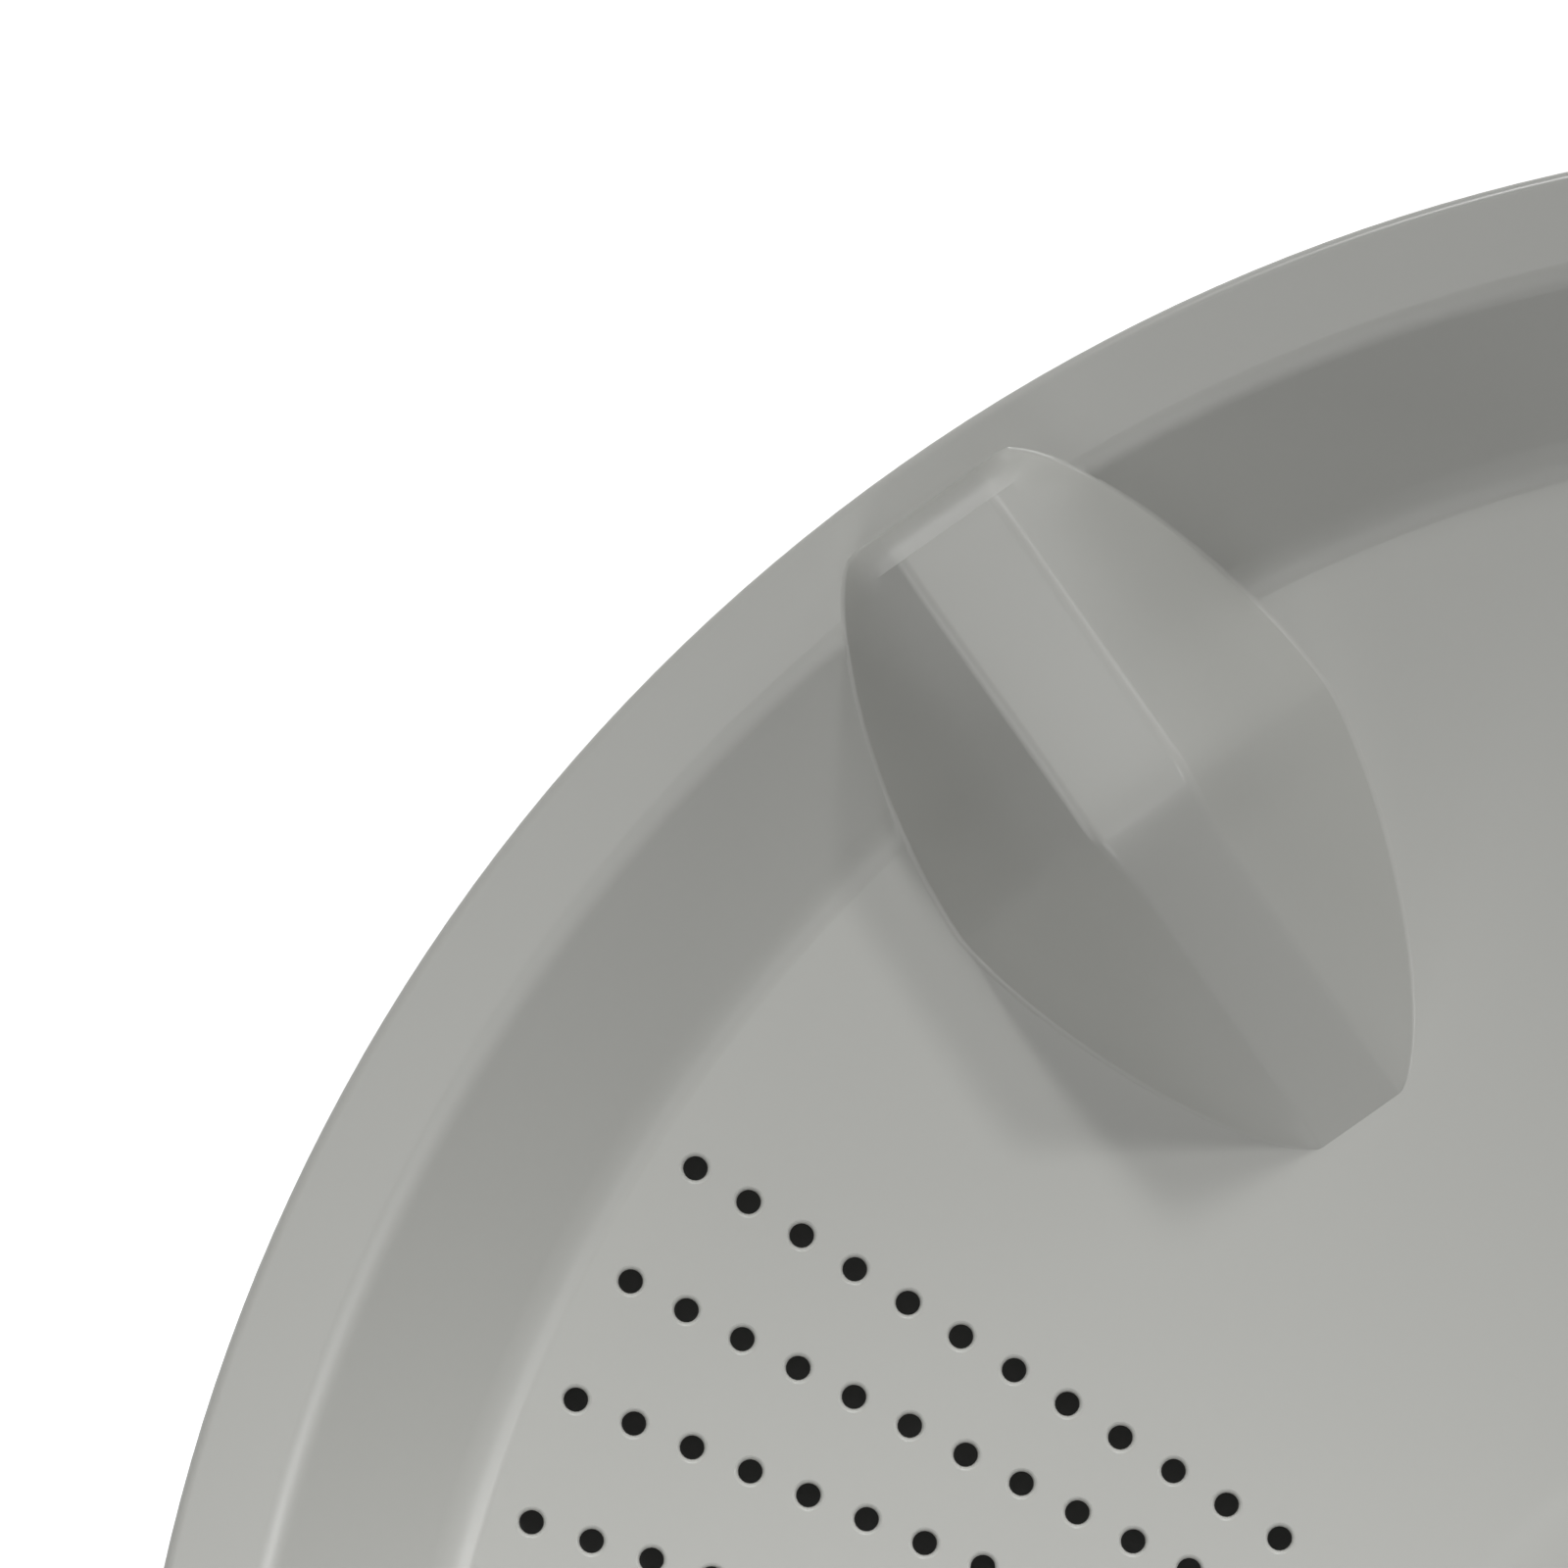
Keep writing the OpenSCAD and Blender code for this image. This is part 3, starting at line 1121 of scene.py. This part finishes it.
@dataclass
class Studio:
    """Camera, lamps, world and floor, in metres."""

    lamps: tuple[Lamp, ...]
    floor_paint: PaleFloor
    # How far the photograph is turned about the part's axis
    roll_deg: float = -5.15
    lens: float = 1000.0
    sensor: float = 36.0
    rim_z: float = 0.026
    aim: tuple[float, float] = (-0.1150, 0.1160)
    bright_spot: tuple[float, float, float] = (-0.1054, -0.1330, 0.0145)
    spot_reach: float = 0.2298
    lamp_away: float = 3.0
    floor_half: float = 3.0

    def turned(self, x: float, y: float, z: float) -> Vector:
        """A place or way of the picture, with x to its right and y up, in the part's frame."""
        return Matrix.Rotation(math.radians(self.roll_deg), 3, "Z") @ Vector((x, y, z))

    def camera(self) -> bpy.types.Object:
        """Places the camera straight above the cut-out that the photograph shows.

        Returns:
            The camera.
        """
        data = bpy.data.cameras.new("camera")
        data.lens, data.sensor_width = self.lens, self.sensor
        away = FRAME_W * self.lens / self.sensor
        data.clip_start, data.clip_end = away / 2, away * 2
        obj = bpy.data.objects.new("camera", data)
        obj.location = self.turned(*self.aim, self.rim_z + away)
        obj.rotation_euler = (0.0, 0.0, math.radians(self.roll_deg))
        bpy.context.scene.collection.objects.link(obj)
        bpy.context.scene.camera = obj
        return obj

    def light(self) -> None:
        """Hangs the lamps. The aimed ones all point at the same bright spot of the floor."""
        for lamp in self.lamps:
            a, e, half = (math.radians(d) for d in (lamp.azimuth, lamp.elevation, lamp.softness / 2))
            towards = self.turned(math.cos(a) * math.cos(e), math.sin(a) * math.cos(e), math.sin(e))
            data = bpy.data.lights.new(lamp.name, lamp.throw.value)
            data.energy = math.pi * lamp.strength
            if lamp.throw is Throw.EVEN:
                data.angle = 2 * half
            else:
                data.energy *= 4 * math.pi * self.lamp_away ** 2
                data.shadow_soft_size = self.lamp_away * math.tan(half)
                data.spot_size, data.spot_blend = 2 * math.atan(self.spot_reach / self.lamp_away), 1.0
            obj = bpy.data.objects.new(lamp.name, data)
            obj.rotation_euler = towards.to_track_quat("Z", "Y").to_euler()
            obj.location = self.turned(*self.bright_spot) + towards * self.lamp_away
            bpy.context.scene.collection.objects.link(obj)

    def world(self) -> None:
        """Makes a white backdrop, which is seen and mirrored and casts no light of its own."""
        world = bpy.data.worlds.new("studio")
        bpy.context.scene.world = world
        world.use_nodes = True
        s = Shader(world.node_tree)
        back = s.node("ShaderNodeBackground", Color=(1.0, 1.0, 1.0, 1.0), Strength=backdrop_seen(s))
        end = s.node("ShaderNodeOutputWorld")
        s.tree.links.new(back.outputs[0], end.inputs["Surface"])

    def floor(self) -> bpy.types.Object:
        """Lays the floor.

        Returns:
            The floor.
        """
        bm = bmesh.new()
        bmesh.ops.create_grid(bm, x_segments=1, y_segments=1, size=self.floor_half)
        obj = solid("studio_floor", bm)
        obj.data.materials.append(self.floor_paint.material())
        return obj


LAMPS = (
    Lamp("key", 100, 30, 0.356, CRISP, Throw.AIMED),
    Lamp("key_right", 76, 34, 0.336, CRISP, Throw.AIMED),
    Lamp("key_high", 0, 60, 0.870, CRISP, Throw.AIMED),
    Lamp("key_wide", 100, 30, 0.200, CRISP),
    Lamp("key_right_wide", 76, 36, 0.100, CRISP),
    Lamp("top", 90, 82, 0.066),
    Lamp("upper_right_fill", 45, 15, 0.121),
    Lamp("lower_right_fill", 315, 15, 0.048),
    Lamp("lower_right_high", 300, 58, 0.059),
    Lamp("lower_fill", 270, 35, 0.121),
    Lamp("lower_left_fill", 225, 15, 0.079),
    Lamp("left_fill", 210, 35, 0.080),
    Lamp("underneath", 90, -70, 0.4, 60.0),
)


def corners(box: tuple[Vector, Vector]) -> list[list[float]]:
    """A box as plain lists of numbers."""
    return [list(corner) for corner in box]


def main() -> None:
    """Builds the part and the studio, and reports each piece."""
    logging.basicConfig(level=logging.INFO, format="%(name)s: %(message)s")
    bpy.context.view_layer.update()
    dish = Dish()
    moulding = Moulding(dish, Fin(dish), DrainHoles(dish), Underside(dish), SatinPlastic())
    studio = Studio(LAMPS, PaleFloor())
    studio.camera()
    piece = moulding.build()
    LOG.info("%s: %d vertices, %d faces", piece.name, len(piece.data.vertices), len(piece.data.polygons))
    studio.world()
    studio.light()
    studio.floor()
    bpy.context.scene.view_settings.view_transform = "Standard"


if __name__ == "__main__":
    main()
